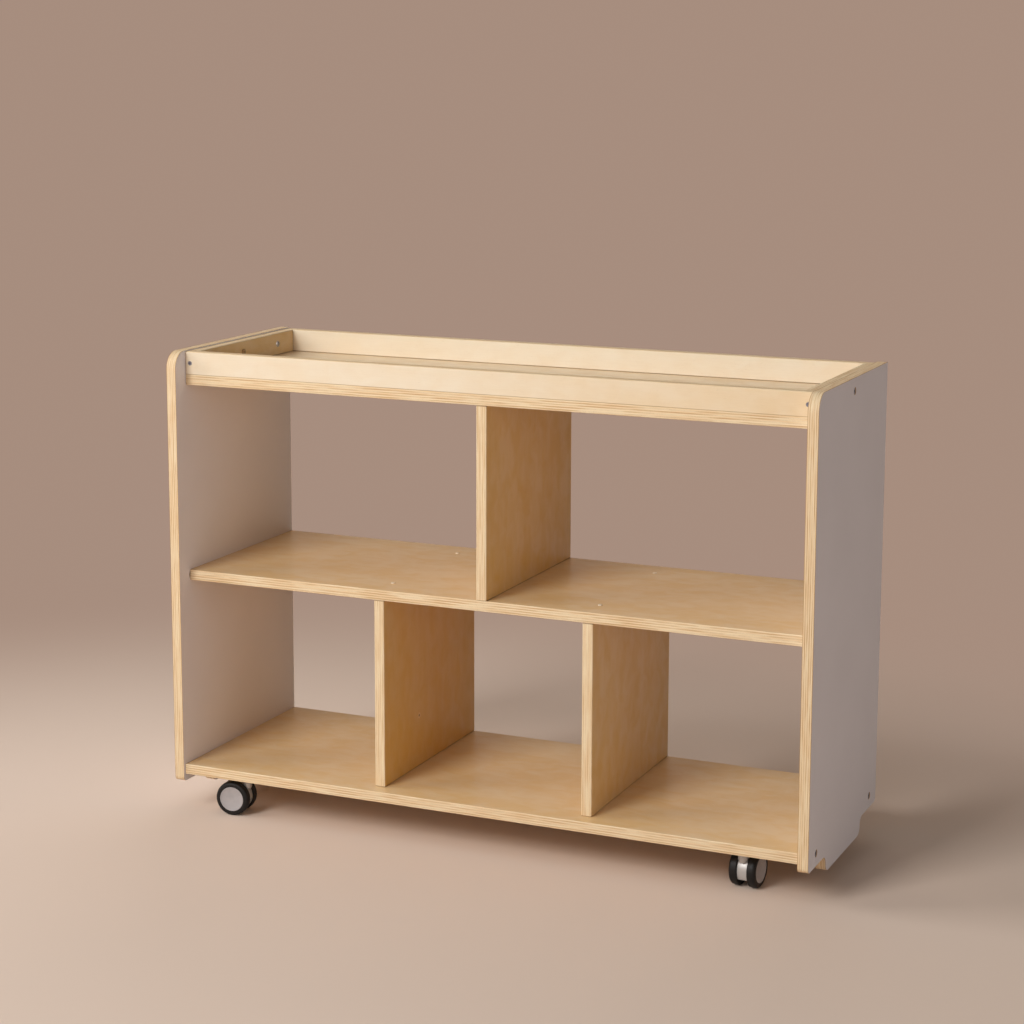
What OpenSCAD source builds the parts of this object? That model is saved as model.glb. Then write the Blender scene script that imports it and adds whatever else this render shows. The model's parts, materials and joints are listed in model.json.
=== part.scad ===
// Mobile classroom shelf: a plywood cabinet with two rows of open bays, a
// tray top with raised rails, laminated end panels and four twin-wheel
// casters that swivel.
// Origin: on the floor, under the centre of the cabinet. X runs along the
// width, Y from front (-Y) to back, Z up. All sizes are in millimetres.

/* [Cabinet] */
// Width over the two end panels
cabinet_w = 960; // [860:10:1200]
// Depth of the end panels, front to back
cabinet_d = 330; // [300:5:420]
// Thickness of every plywood board
board_t = 15; // [14:0.5:18]
// Clear height of each row of bays
bay_h = 271; // [220:1:340]
// Setback of the middle shelf, the dividers and the tray behind the end panels' front edge
front_setback = 27; // [20:1:40]
// Setback of the bottom shelf behind the end panels' front edge
base_setback = 4; // [2:0.5:12]
// Chamfer that eases the edges of every board
edge_ease = 0.8; // [0.4:0.1:1.2]

/* [End panels] */
// Thickness of the laminate on each face of an end panel
laminate_t = 0.8; // [0.5:0.1:1.2]
// How far an end panel reaches below the bottom shelf
panel_drop = 10.5; // [8:0.5:14]
// How far an end panel stands above the tray's rails
panel_rise = 1.5; // [0.5:0.5:10]
// Radius of the top front corner
top_corner_r = 24; // [12:1:26]
// Radius of the two bottom corners
foot_corner_r = 7; // [4:0.5:10]
// Radius of each of the two curves in the step down to the skirt
skirt_r = 12; // [8:0.5:13]
// Distance from a panel's front or back edge to the start of that step
skirt_inset = 69; // [60:1:80]
// Depth of the groove that holds the middle shelf
groove_depth = 4; // [3:0.5:6]
// How far the groove's round end shows in front of the middle shelf
groove_lead = 1; // [0.5:0.5:3]

/* [Tray top] */
// Height of the rails and end boards above the tray's floor
rail_h = 33; // [26:1:50]

/* [Fasteners] */
// Clearance all round a fastener in its hole
screw_fit = 0.1; // [0.05:0.01:0.2]
// Distance of the bottom shelf's screws from the panels' front and back edges
base_screw_inset = 35; // [25:1:45]
// Distance of the divider screws from a divider's front and back edges
divider_screw_inset = 45; // [30:1:60]
// Distance of the tray's inner screws from the panels' front and back edges
tray_screw_inset = 63; // [55:1:80]
// Distance of the tray floor's outer screws from the end panels
floor_screw_inset = 95; // [70:5:120]
// Distance of the tray floor's inner screws from the cabinet's centre
floor_screw_offset = 130; // [80:5:160]
// Diameter of the recess over the head of a connecting screw
recess_d = 10; // [9:0.5:12]
// Depth of that recess in the end panel
recess_depth = 3.8; // [3.4:0.1:6]
// Diameter of a connecting screw's head
head_d = 9.4; // [8:0.1:9.8]
// Height of a connecting screw's head
head_h = 3; // [2:0.5:4]
// Diameter of a connecting screw's shank
shank_d = 6; // [4:0.5:6.5]
// Length of a connecting screw, head included
screw_l = 48; // [40:1:55]
// Diameter of a wood screw's countersunk head
wood_head_d = 6.4; // [5.5:0.1:7]
// Height of a countersunk head
wood_head_h = 2.4; // [1.5:0.1:3]
// Diameter of a wood screw's shank
wood_shank_d = 3.5; // [3:0.1:4]
// How far a wood screw bites into the second board
wood_bite = 22; // [15:1:24]
// How far the screws at the ends of the rails bite into the tray's end boards
rail_bite = 16; // [12:1:18]
// Diameter of the cover caps on the middle shelf
cap_d = 6.6; // [6:0.1:7]
// Height of the cover caps above the shelf
cap_h = 0.6; // [0.3:0.1:1]
// Diameter of the dowels on top of the upper divider
dowel_d = 8; // [6:0.5:10]
// Depth that a dowel reaches into each board
dowel_depth = 10; // [8:0.5:12]

/* [Casters] */
// Distance of a caster's swivel axis from the cabinet's end
caster_inset_x = 100; // [85:1:140]
// Distance of a caster's swivel axis from the panels' front and back edges
caster_inset_y = 36; // [30:1:55]
// Diameter of the wheels
wheel_d = 50; // [46:1:60]
// Width of each wheel
wheel_w = 11.6; // [10:0.1:14]
// Diameter of the round cap on a wheel's outer face
rim_d = 36; // [32:0.5:38]
// Radius of a tyre's outer shoulder
shoulder_r = 4; // [2:0.5:5]
// Radius of a tyre's inner shoulder
inner_shoulder_r = 1.5; // [1:0.5:2]
// Gap between the wheels' tops and the bottom shelf
headroom = 7.5; // [6:0.5:12]
// Distance from the swivel axis to the axle
trail = 17; // [14:0.5:22]
// Diameter of the swivel housing's disc between the wheels
housing_d = 44; // [42:0.5:44.5]
// Width of the swivel housing
housing_w = 14; // [12.5:0.5:16]
// Height above the floor at which the disc is cut off
housing_cut = 13; // [10:0.5:15]
// Height of the boss's round tip above the floor
boss_tip = 35.5; // [33:0.5:37]
// Gap between the swivel housing and each wheel
wheel_gap = 0.4; // [0.3:0.1:0.8]
// Diameter of the pin that the housing swivels on
pin_d = 7; // [5:0.5:8]
// Diameter of the stem's thread
thread_d = 8; // [6:1:10]
// Height of the stem's collar
collar_h = 3; // [2:0.5:4]
// Diameter of the axle
axle_d = 5; // [4:0.5:6]
// Radial clearance of the running fits
running_fit = 0.06; // [0.03:0.01:0.1]
// Outer diameter of the threaded insert in the bottom shelf
insert_d = 12; // [10:0.5:14]
// Thickness of wood left above the insert
insert_cover = 2.5; // [2:0.5:4]

/* [Casters at rest] */
// Direction that the front left caster trails, anticlockwise from +X seen from above
front_left_turn = 187; // [0:1:359]
// Direction that the front right caster trails
front_right_turn = 85; // [0:1:359]
// Direction that the back left caster trails
back_left_turn = 172; // [0:1:359]
// Direction that the back right caster trails
back_right_turn = 248; // [0:1:359]

/* [Hidden] */
$fn = 64;

birch = [0.90, 0.79, 0.62];
ply_edge = [0.86, 0.73, 0.54];
laminate_grey = [0.74, 0.72, 0.70];
steel = [0.70, 0.70, 0.71];
dark_steel = [0.30, 0.30, 0.32];
cap_beige = [0.93, 0.85, 0.72];
housing_silver = [0.72, 0.71, 0.70];
rim_grey = [0.68, 0.66, 0.65];
tyre_black = [0.10, 0.09, 0.09];

// Overshoot of every cutting shape past the face that it cuts
cut = 1;

// Faces and edges of the cabinet
inner_x = cabinet_w / 2 - board_t;
front_y = -cabinet_d / 2;
back_y = cabinet_d / 2;
shelf_y = front_y + front_setback;

// Heights above the floor
base_z = wheel_d + headroom;
base_top = base_z + board_t;
middle_z = base_top + bay_h;
middle_top = middle_z + board_t;
tray_z = middle_top + bay_h;
tray_top = tray_z + board_t;
rail_top = tray_top + rail_h;
rail_mid = tray_top + rail_h / 2;
panel_z = base_z - panel_drop;
panel_top = rail_top + panel_rise;

// Divider centres: the lower row has three equal bays, the upper row two
lower_bay_w = (2 * inner_x - 2 * board_t) / 3;
lower_divider_x = (lower_bay_w + board_t) / 2;
divider_ys = [shelf_y + divider_screw_inset, back_y - divider_screw_inset];

// Groove for the middle shelf: its round end lies ahead of the shelf's tongue
groove_end_y = shelf_y - groove_lead + board_t / 2;

// Caster places: name, side of the cabinet in X and Y, trailing direction
CASTERS = [
    ["front_left", -1, -1, front_left_turn],
    ["front_right", 1, -1, front_right_turn],
    ["back_left", -1, 1, back_left_turn],
    ["back_right", 1, 1, back_right_turn]
];
swivel_x = cabinet_w / 2 - caster_inset_x;
swivel_y = cabinet_d / 2 - caster_inset_y;
wheel_in = housing_w / 2 + wheel_gap;
wheel_out = wheel_in + wheel_w;
boss_top = base_z - collar_h;
// The boss is as thick as the housing is wide, so it clears the wheels beside it
boss_d = housing_w;
pin_z = boss_tip + boss_d / 2;
insert_top = base_top - insert_cover;
// Thickness of the cap that closes a wheel's outer face
rim_cap_t = 2.4;
// Radius of a wheel's barrel around the axle
rim_hub_r = axle_d / 2 + 3;

// A rectangle with its four corners cut at 45 degrees
module eased_rect(w, h) {
    e = edge_ease;
    polygon([[e, 0], [w - e, 0], [w, e], [w, h - e], [w - e, h], [e, h], [0, h - e], [0, e]]);
}

// A board from one corner to the opposite one, with every edge eased
module board(low, high) {
    s = high - low;
    translate(low)
        intersection() {
            linear_extrude(s.z) eased_rect(s.x, s.y);
            translate([0, s.y, 0]) rotate([90, 0, 0]) linear_extrude(s.y) eased_rect(s.x, s.z);
            rotate([90, 0, 90]) linear_extrude(s.x) eased_rect(s.y, s.z);
        }
}

// Puts a flat outline drawn in depth and height into the plane X = x, and gives it a thickness
module upright(x, t) {
    translate([x, front_y, 0]) rotate([90, 0, 90]) linear_extrude(t) children();
}

// Draws its children as they are and again on the other end of the depth
module both_edges() {
    children();
    translate([cabinet_d, 0]) mirror([1, 0]) children();
}

// A cylinder along +X from a point
module rod_x(p, d, l) {
    translate(p) rotate([0, 90, 0]) cylinder(d = d, h = l);
}

// A cylinder along +Y from a point
module rod_y(p, d, l) {
    translate(p) rotate([-90, 0, 0]) cylinder(d = d, h = l);
}

// What lies outside a rounded corner at the origin, for a corner that opens to +X and +Y
module corner_waste(r) {
    difference() {
        translate([-cut, -cut]) square(r + cut);
        translate([r, r]) circle(r);
    }
}

// The end panel's outline: front edge at 0, a rounded top front corner, and a
// skirt between the casters that drops in two curves
module panel_outline() {
    skirt_from = skirt_inset + skirt_r;
    difference() {
        union() {
            translate([0, panel_z]) square([cabinet_d, panel_top - panel_z]);
            translate([skirt_from, panel_z - 2 * skirt_r])
                square([cabinet_d - 2 * skirt_from, 2 * skirt_r + cut]);
            both_edges()
                difference() {
                    translate([skirt_inset, panel_z - skirt_r]) square([skirt_r + cut, skirt_r + cut]);
                    translate([skirt_inset, panel_z - skirt_r]) circle(skirt_r);
                }
        }
        both_edges() {
            translate([0, panel_z]) corner_waste(foot_corner_r);
            translate([skirt_from, panel_z - 2 * skirt_r]) corner_waste(skirt_r);
        }
        translate([0, panel_top]) mirror([0, 1]) corner_waste(top_corner_r);
    }
}

// Groove in a left end panel: full width at the back, a round end at the front
module groove() {
    x = -inner_x - groove_depth;
    depth = groove_depth + cut;
    translate([x, groove_end_y, middle_z]) cube([depth, back_y - groove_end_y + cut, board_t]);
    rod_x([x, groove_end_y, middle_z + board_t / 2], board_t, depth);
}

// Places on an end panel where the bottom shelf's screws go in
base_screw_ys = [front_y + base_screw_inset, back_y - base_screw_inset];
base_screw_z = base_z + board_t / 2;
// Places of the tray's inner screws
tray_screw_ys = [front_y + tray_screw_inset, back_y - tray_screw_inset];

// Holes that pass from the left end panel's outer face through all its layers
module panel_holes() {
    x = -cabinet_w / 2 - cut;
    for (y = base_screw_ys) {
        rod_x([x, y, base_screw_z], recess_d, recess_depth + cut);
        rod_x([x, y, base_screw_z], shank_d + 2 * screw_fit, board_t + 2 * cut);
    }
    rod_x([x, 0, rail_mid], recess_d, recess_depth + cut);
    rod_x([x, 0, rail_mid], shank_d + 2 * screw_fit, board_t + 2 * cut);
    for (y = tray_screw_ys)
        rod_x([-inner_x - wood_pilot, y, rail_mid], wood_shank_d + 2 * screw_fit, wood_pilot + cut);
}
// Depth of the tray's inner screws in the end panel
wood_pilot = 9;

// Plywood core of the left end panel
module left_core() {
    difference() {
        upright(-cabinet_w / 2 + laminate_t, board_t - 2 * laminate_t) panel_outline();
        panel_holes();
        groove();
    }
}

// Laminate on the left end panel, from x towards +X
module left_laminate(x) {
    difference() {
        upright(x, laminate_t) panel_outline();
        panel_holes();
        groove();
    }
}

module left_end_panel() { color(ply_edge) left_core(); }
module right_end_panel() { color(ply_edge) mirror([1, 0, 0]) left_core(); }
module left_outer_laminate() { color(laminate_grey) left_laminate(-cabinet_w / 2); }
module left_inner_laminate() { color(laminate_grey) left_laminate(-inner_x - laminate_t); }
module right_outer_laminate() { color(laminate_grey) mirror([1, 0, 0]) left_laminate(-cabinet_w / 2); }
module right_inner_laminate() { color(laminate_grey) mirror([1, 0, 0]) left_laminate(-inner_x - laminate_t); }

// A round-headed screw or bolt along -Z, its head's top face at the origin, with a six-sided socket
module socket_screw(l) {
    difference() {
        union() {
            translate([0, 0, -head_h]) cylinder(d = head_d, h = head_h);
            translate([0, 0, -l]) cylinder(d = shank_d, h = l - head_h / 2);
        }
        translate([0, 0, -head_h * 0.7]) cylinder(d = head_d * 0.48, h = head_h, $fn = 6);
    }
}

// A countersunk wood screw along -Z, its head's top face at the origin, with a crossed recess
module wood_screw(l) {
    difference() {
        union() {
            translate([0, 0, -wood_head_h]) cylinder(d1 = wood_shank_d, d2 = wood_head_d, h = wood_head_h);
            translate([0, 0, -l]) cylinder(d = wood_shank_d, h = l - wood_head_h);
        }
        for (a = [0, 90])
            rotate(a) cube([wood_head_d * 0.56, wood_head_d * 0.13, wood_head_h * 1.1], center = true);
    }
}

// The hole that a countersunk wood screw needs, with the same axis and origin
module wood_hole(l) {
    translate([0, 0, -l]) cylinder(d = wood_shank_d + 2 * screw_fit, h = l + cut);
    translate([0, 0, -wood_head_h])
        cylinder(d1 = wood_shank_d + 2 * screw_fit, d2 = wood_head_d + 2 * screw_fit, h = wood_head_h);
    cylinder(d = wood_head_d + 2 * screw_fit, h = cut);
}

// Draws its children at each screw place over a lower divider
module at_lower_divider_screws(z) {
    for (x = [-lower_divider_x, lower_divider_x], y = divider_ys)
        translate([x, y, z]) children();
}

wood_l = board_t + wood_bite;
// Depth of the recess over the screws in the middle shelf, which the caps close
cap_seat = 2;

module divider_top_screws() {
    color(steel) at_lower_divider_screws(middle_top - cap_seat) wood_screw(wood_l - cap_seat);
}

module divider_caps() {
    color(cap_beige)
        at_lower_divider_screws(middle_top) {
            cylinder(d1 = cap_d, d2 = cap_d - 2 * cap_h, h = cap_h);
            translate([0, 0, -cap_seat + cap_stem_gap])
                cylinder(d = wood_head_d - 2 * screw_fit, h = cap_seat - cap_stem_gap + cap_h / 2);
        }
}
// Space between a cap's stem and the screw under it
cap_stem_gap = 0.2;

module divider_foot_screws() {
    color(steel) at_lower_divider_screws(base_z) rotate([180, 0, 0]) wood_screw(wood_l);
}

module upper_divider_screws() {
    color(steel) for (y = divider_ys) translate([0, y, middle_z]) rotate([180, 0, 0]) wood_screw(wood_l);
}

module upper_divider_dowels() {
    color(birch)
        for (y = divider_ys)
            translate([0, y, tray_z - dowel_depth]) cylinder(d = dowel_d, h = 2 * dowel_depth);
}

// Holes for the dowels, a little longer than they are
module dowel_holes() {
    for (y = divider_ys)
        translate([0, y, tray_z - dowel_depth - screw_fit])
            cylinder(d = dowel_d + 2 * screw_fit, h = 2 * (dowel_depth + screw_fit));
}

module base_screw_pair() {
    for (y = base_screw_ys)
        translate([-cabinet_w / 2 + recess_depth - head_h, y, base_screw_z]) rotate([0, -90, 0]) socket_screw(screw_l);
}

module base_screws() {
    color(dark_steel) {
        base_screw_pair();
        mirror([1, 0, 0]) base_screw_pair();
    }
}

// Holes for the bottom shelf's screws in the shelf's left end
module base_screw_holes() {
    for (y = base_screw_ys)
        rod_x([-inner_x - cut, y, base_screw_z], shank_d + 2 * screw_fit, screw_l - board_t + recess_depth + cut);
}

// Threaded inserts for the four caster stems, each with a flange under the shelf
module caster_inserts() {
    color(steel)
        for (c = CASTERS)
            translate([c[1] * swivel_x, c[2] * swivel_y, 0])
                difference() {
                    translate([0, 0, base_z]) cylinder(d = insert_d, h = insert_top - base_z);
                    translate([0, 0, base_z - cut]) cylinder(d = thread_d + 2 * screw_fit, h = stem_l + cut + screw_fit);
                }
}
// Length of a stem's thread above the shelf's underside
stem_l = 10;

module bottom_shelf() {
    color(birch)
        difference() {
            board([-inner_x, front_y + base_setback, base_z], [inner_x, back_y, base_top]);
            base_screw_holes();
            mirror([1, 0, 0]) base_screw_holes();
            at_lower_divider_screws(base_z) rotate([180, 0, 0]) wood_hole(wood_l);
            for (c = CASTERS)
                translate([c[1] * swivel_x, c[2] * swivel_y, base_z - cut])
                    cylinder(d = insert_d, h = insert_top - base_z + cut);
        }
}

module middle_shelf() {
    color(birch)
        difference() {
            union() {
                board([-inner_x, shelf_y, middle_z], [inner_x, back_y, middle_top]);
                translate([-inner_x - groove_depth, groove_end_y, middle_z])
                    cube([2 * (inner_x + groove_depth), back_y - groove_end_y - edge_ease, board_t]);
            }
            at_lower_divider_screws(middle_top - cap_seat) wood_hole(wood_l);
            at_lower_divider_screws(middle_top - cap_seat)
                cylinder(d = wood_head_d + 2 * screw_fit, h = cap_seat + cut);
            for (y = divider_ys) translate([0, y, middle_z]) rotate([180, 0, 0]) wood_hole(wood_l);
        }
}

// A divider centred on x, from one height to another
module divider(x, z1, z2) {
    board([x - board_t / 2, shelf_y, z1], [x + board_t / 2, back_y, z2]);
}

module upper_divider() {
    color(birch)
        difference() {
            divider(0, middle_top, tray_z);
            for (y = divider_ys) translate([0, y, middle_z]) rotate([180, 0, 0]) wood_hole(wood_l);
            dowel_holes();
        }
}

module lower_divider(x) {
    color(birch)
        difference() {
            divider(x, base_top, middle_z);
            at_lower_divider_screws(base_z) rotate([180, 0, 0]) wood_hole(wood_l);
            at_lower_divider_screws(middle_top - cap_seat) wood_hole(wood_l - cap_seat);
        }
}

module lower_left_divider() { lower_divider(-lower_divider_x); }
module lower_right_divider() { lower_divider(lower_divider_x); }

// Places of the screws that come up through the tray's floor into the rails
floor_screw_xs = [
    -inner_x + floor_screw_inset, -floor_screw_offset,
    floor_screw_offset, inner_x - floor_screw_inset
];
floor_screw_ys = [shelf_y + board_t / 2, back_y - board_t / 2];

// Draws its children at each screw place under the tray's floor, turned to point up
module at_floor_screws() {
    for (x = floor_screw_xs, y = floor_screw_ys)
        translate([x, y, tray_z]) rotate([180, 0, 0]) children();
}

module tray_floor_screws() { color(steel) at_floor_screws() wood_screw(wood_l); }

module tray_floor() {
    color(birch)
        difference() {
            board([-inner_x, shelf_y, tray_z], [inner_x, back_y, tray_top]);
            at_floor_screws() wood_hole(wood_l);
            dowel_holes();
        }
}

// Length of the screws at the ends of the rails
rail_screw_l = board_t + rail_bite;

// Screws at the ends of the rails: heads on the outer faces, shanks in the end boards
module at_rail_screws() {
    x = inner_x - board_t / 2;
    for (s = [-1, 1]) {
        translate([s * x, shelf_y, rail_mid]) rotate([90, 0, 0]) children();
        translate([s * x, back_y, rail_mid]) rotate([-90, 0, 0]) children();
    }
}

module tray_rail_screws() { color(dark_steel) at_rail_screws() wood_screw(rail_screw_l); }

module rail(y) {
    color(birch)
        difference() {
            board([-inner_x, y, tray_top], [inner_x, y + board_t, rail_top]);
            at_floor_screws() wood_hole(wood_l);
            at_rail_screws() wood_hole(rail_screw_l);
        }
}

module tray_front_rail() { rail(shelf_y); }
module tray_back_rail() { rail(back_y - board_t); }

// Left end board of the tray, between the two rails
module left_board() {
    difference() {
        board([-inner_x, shelf_y + board_t, tray_top], [-inner_x + board_t, back_y - board_t, rail_top]);
        at_rail_screws() wood_hole(rail_screw_l);
        rod_x([-inner_x - cut, 0, rail_mid], nut_d + 2 * screw_fit, board_t + 2 * cut);
        for (y = tray_screw_ys)
            translate([-inner_x + board_t, y, rail_mid]) rotate([0, 90, 0]) wood_hole(board_t + cut);
    }
}

module tray_left_board() { color(birch) left_board(); }
module tray_right_board() { color(birch) mirror([1, 0, 0]) left_board(); }

// Outer diameter of the sleeve nut's barrel
nut_d = 7.6;
// Diameter and thickness of the sleeve nut's head on the board's inner face
nut_head_d = 9.6;
nut_head_t = 1.2;

// Bolt through the left end panel into the sleeve nut in the tray's end board
module side_bolt() {
    translate([-cabinet_w / 2 + recess_depth - head_h, 0, rail_mid])
        rotate([0, -90, 0]) socket_screw(board_t + bolt_reach);
}
// How far a side bolt reaches into its nut
bolt_reach = 6;

module side_nut() {
    difference() {
        union() {
            rod_x([-inner_x + screw_fit, 0, rail_mid], nut_d, board_t - screw_fit);
            rod_x([-inner_x + board_t, 0, rail_mid], nut_head_d, nut_head_t);
        }
        rod_x([-inner_x - cut, 0, rail_mid], shank_d + 2 * screw_fit, board_t - nut_floor + cut);
        translate([-inner_x + board_t + nut_head_t / 4, 0, rail_mid])
            rotate([0, 90, 0]) cylinder(d = nut_head_d * 0.38, h = nut_head_t, $fn = 6);
    }
}
// Solid end left in the sleeve nut
nut_floor = 3;

module tray_side_bolts() {
    color(dark_steel) {
        side_bolt();
        mirror([1, 0, 0]) side_bolt();
    }
}

module tray_side_nuts() {
    color(dark_steel) {
        side_nut();
        mirror([1, 0, 0]) side_nut();
    }
}

// Screws through the left end board into the end panel, with domed heads
module left_board_screws() {
    for (y = tray_screw_ys)
        translate([-inner_x + board_t, y, rail_mid]) rotate([0, 90, 0]) {
            wood_screw(board_t + wood_pilot - screw_fit);
            difference() {
                cylinder(d1 = recess_d, d2 = recess_d * 0.7, h = dome_h);
                translate([0, 0, -cut]) cylinder(d = wood_head_d, h = dome_h + 2 * cut);
            }
        }
}
// Height of the cup washer under each of those screws
dome_h = 1.2;

module tray_board_screws() {
    color(steel) {
        left_board_screws();
        mirror([1, 0, 0]) left_board_screws();
    }
}

// Places a caster's piece: swivel axis at the origin, wheels trailing towards +X
module at_caster(c) {
    translate([c[1] * swivel_x, c[2] * swivel_y, 0]) rotate(c[3]) children();
}

// Stem: thread in the insert, collar under the shelf, and the pin that the housing turns on
module stem() {
    color(steel) {
        translate([0, 0, base_z]) cylinder(d = thread_d, h = stem_l);
        translate([0, 0, boss_top + running_fit]) cylinder(d = collar_d, h = collar_h - running_fit);
        translate([0, 0, pin_z]) cylinder(d = pin_d, h = base_z - pin_z);
    }
}
// Diameter of the stem's collar
collar_d = 13;

// Swivel housing: a disc between the wheels, cut off below, with an upright boss in front
module housing() {
    color(housing_silver)
        difference() {
            union() {
                rod_y([trail, -housing_w / 2, wheel_d / 2], housing_d, housing_w);
                translate([0, 0, boss_tip + boss_d / 2]) {
                    cylinder(d = boss_d, h = boss_top - boss_tip - boss_d / 2);
                    sphere(d = boss_d);
                }
            }
            translate([trail - housing_d, -housing_w, 0]) cube([2 * housing_d, 2 * housing_w, housing_cut]);
            rod_y([trail, -housing_w, wheel_d / 2], axle_d, 2 * housing_w);
            translate([0, 0, pin_z - running_fit])
                cylinder(d = pin_d + 2 * running_fit, h = boss_top - pin_z + running_fit + cut);
        }
}

// Axle: pressed through the housing, its ends inside the wheels
module axle() {
    reach = wheel_out - rim_cap_t - running_fit;
    color(steel) rod_y([trail, -reach, wheel_d / 2], axle_d, 2 * reach);
}

// Draws its children as a revolved wheel section: X is the radius, Y the distance
// from the housing's middle plane. Wheel 1 is on the -Y side, wheel 2 on the +Y side.
module wheel_at(side) {
    translate([trail, 0, wheel_d / 2]) rotate([side * -90, 0, 0]) rotate_extrude() children();
}

// Rim: barrel on the axle, web, seat for the tyre and the round outer cap
module rim(side) {
    seat = rim_d / 2;
    color(rim_grey)
        wheel_at(side)
            difference() {
                union() {
                    translate([0, wheel_in]) square([rim_hub_r, wheel_w - rim_cap_t]);
                    translate([0, wheel_out - rim_cap_t]) square([seat, rim_cap_t - rim_dish]);
                    translate([0, wheel_out - rim_cap_t]) square([seat - rim_lip, rim_cap_t - rim_dish]);
                    translate([seat - rim_lip, wheel_out - rim_cap_t]) square([rim_lip, rim_cap_t]);
                    translate([seat - rim_wall, wheel_in]) square([rim_wall, wheel_w - rim_cap_t]);
                }
                translate([-cut, wheel_in - cut])
                    square([axle_d / 2 + running_fit + cut, wheel_w - rim_cap_t + cut]);
            }
}
// Depth and width of the shallow dish in a wheel's cap, and the rim's wall
rim_dish = 0.5;
rim_lip = 1.6;
rim_wall = 2.2;

// Tyre: a ring on the rim with round shoulders, the outer one the larger
module tyre(side) {
    r = wheel_d / 2;
    seat = rim_d / 2;
    color(tyre_black)
        wheel_at(side)
            difference() {
                translate([seat, wheel_in]) square([r - seat, wheel_w]);
                translate([r, wheel_out]) mirror([1, 0]) mirror([0, 1]) corner_waste(shoulder_r);
                translate([r, wheel_in]) mirror([1, 0]) corner_waste(inner_shoulder_r);
            }
}

left_end_panel();
right_end_panel();
left_outer_laminate();
left_inner_laminate();
right_outer_laminate();
right_inner_laminate();
bottom_shelf();
middle_shelf();
upper_divider();
lower_left_divider();
lower_right_divider();
tray_floor();
tray_front_rail();
tray_back_rail();
tray_left_board();
tray_right_board();
base_screws();
tray_side_bolts();
tray_side_nuts();
tray_board_screws();
tray_rail_screws();
tray_floor_screws();
divider_top_screws();
divider_caps();
divider_foot_screws();
upper_divider_screws();
upper_divider_dowels();
caster_inserts();
for (c = CASTERS) {
    at_caster(c) stem();
    at_caster(c) housing();
    at_caster(c) axle();
    at_caster(c) rim(-1);
    at_caster(c) tyre(-1);
    at_caster(c) rim(1);
    at_caster(c) tyre(1);
}
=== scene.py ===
# %% [markdown]
# # A mobile classroom shelf
# This lesson dresses a finished CAD model of a low plywood shelf on casters. The boards, screws and wheels
# already have their true shapes and sizes, so most of the work is in the finishes: birch plywood with its
# layers on the edges, pale laminate on the end panels, and rubber, plastic and metal on the casters.
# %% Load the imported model
import json
import math

import bpy
from mathutils import Matrix, Vector


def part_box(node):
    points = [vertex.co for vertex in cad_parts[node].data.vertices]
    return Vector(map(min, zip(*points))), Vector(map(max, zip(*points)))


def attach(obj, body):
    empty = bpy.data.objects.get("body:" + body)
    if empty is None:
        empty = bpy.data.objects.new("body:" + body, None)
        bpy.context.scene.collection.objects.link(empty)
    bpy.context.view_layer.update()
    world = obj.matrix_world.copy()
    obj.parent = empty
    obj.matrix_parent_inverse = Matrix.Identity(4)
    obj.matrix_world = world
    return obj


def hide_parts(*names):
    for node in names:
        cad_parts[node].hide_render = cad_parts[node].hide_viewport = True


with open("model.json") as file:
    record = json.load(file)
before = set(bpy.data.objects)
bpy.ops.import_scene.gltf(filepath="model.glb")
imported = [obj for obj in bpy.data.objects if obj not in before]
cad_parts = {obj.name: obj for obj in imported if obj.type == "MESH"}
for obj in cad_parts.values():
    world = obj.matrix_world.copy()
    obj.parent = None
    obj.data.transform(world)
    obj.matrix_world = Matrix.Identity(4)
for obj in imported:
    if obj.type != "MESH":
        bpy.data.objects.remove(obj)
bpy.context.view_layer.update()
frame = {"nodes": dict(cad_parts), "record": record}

MM = 0.001
nodes = frame["nodes"]
bpy.ops.object.select_all(action="DESELECT")
print("pieces from the CAD model:", len(nodes))

# %% [markdown]
# ## The camera
# The photograph was taken from the front right, a little above the tray, with a long lens. A camera can be
# placed by eye, but then every edge is a little off. This one was worked out from the board edges in the
# photograph. A camera in Blender looks along its own -Z axis, so its rotation is built from three
# directions: right, up and back. A small vertical shift keeps the cabinet's uprights nearly parallel, as
# they are in the photograph.
# %% Camera
EYE = Vector((1.30010, -2.97553, 1.11908))
TURN, TIP, LEAN = 0.416263, 0.165964, 0.0022737  # radians
SENSOR_WIDTH, LENS = 36, 82.143                  # millimetres
SHIFT = -0.08
NEAREST, FARTHEST = 0.05, 200                    # metres
SKYWARD = Vector((0, 0, 1))

camera_data = bpy.data.cameras.new("camera")
camera = bpy.data.objects.new("camera", camera_data)
bpy.context.scene.collection.objects.link(camera)
bpy.context.scene.camera = camera

level_ahead = Vector((-math.sin(TURN), math.cos(TURN), 0))
level_right = Vector((math.cos(TURN), math.sin(TURN), 0))
ahead = math.cos(TIP) * level_ahead - math.sin(TIP) * SKYWARD
upright = math.cos(TIP) * SKYWARD + math.sin(TIP) * level_ahead
right = math.cos(LEAN) * level_right + math.sin(LEAN) * upright
up = math.cos(LEAN) * upright - math.sin(LEAN) * level_right
camera.matrix_world = Matrix.Translation(EYE) @ Matrix((right, up, -ahead)).transposed().to_4x4()
camera_data.sensor_width = SENSOR_WIDTH
camera_data.lens = LENS
camera_data.shift_y = SHIFT
camera_data.clip_start = NEAREST
camera_data.clip_end = FARTHEST
print("camera turned", round(math.degrees(TURN), 1), "degrees and tipped", round(math.degrees(TIP), 1))

# %% [markdown]
# ## Small helpers for node trees
# A procedural material is a small calculation that runs at every point of the surface. It could be drawn by
# hand in the shader editor, but the shelf needs twelve kinds of plywood that differ only in a few values,
# so the trees are written in code. The helpers keep that short: one feeds a socket, one adds a node, one
# does arithmetic, and one mixes two colours.
# %% Node helpers
MIX_FACTOR, MIX_A, MIX_B, MIX_COLOUR = 0, 6, 7, 2  # the Mix node's sockets, when it mixes colours


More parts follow.
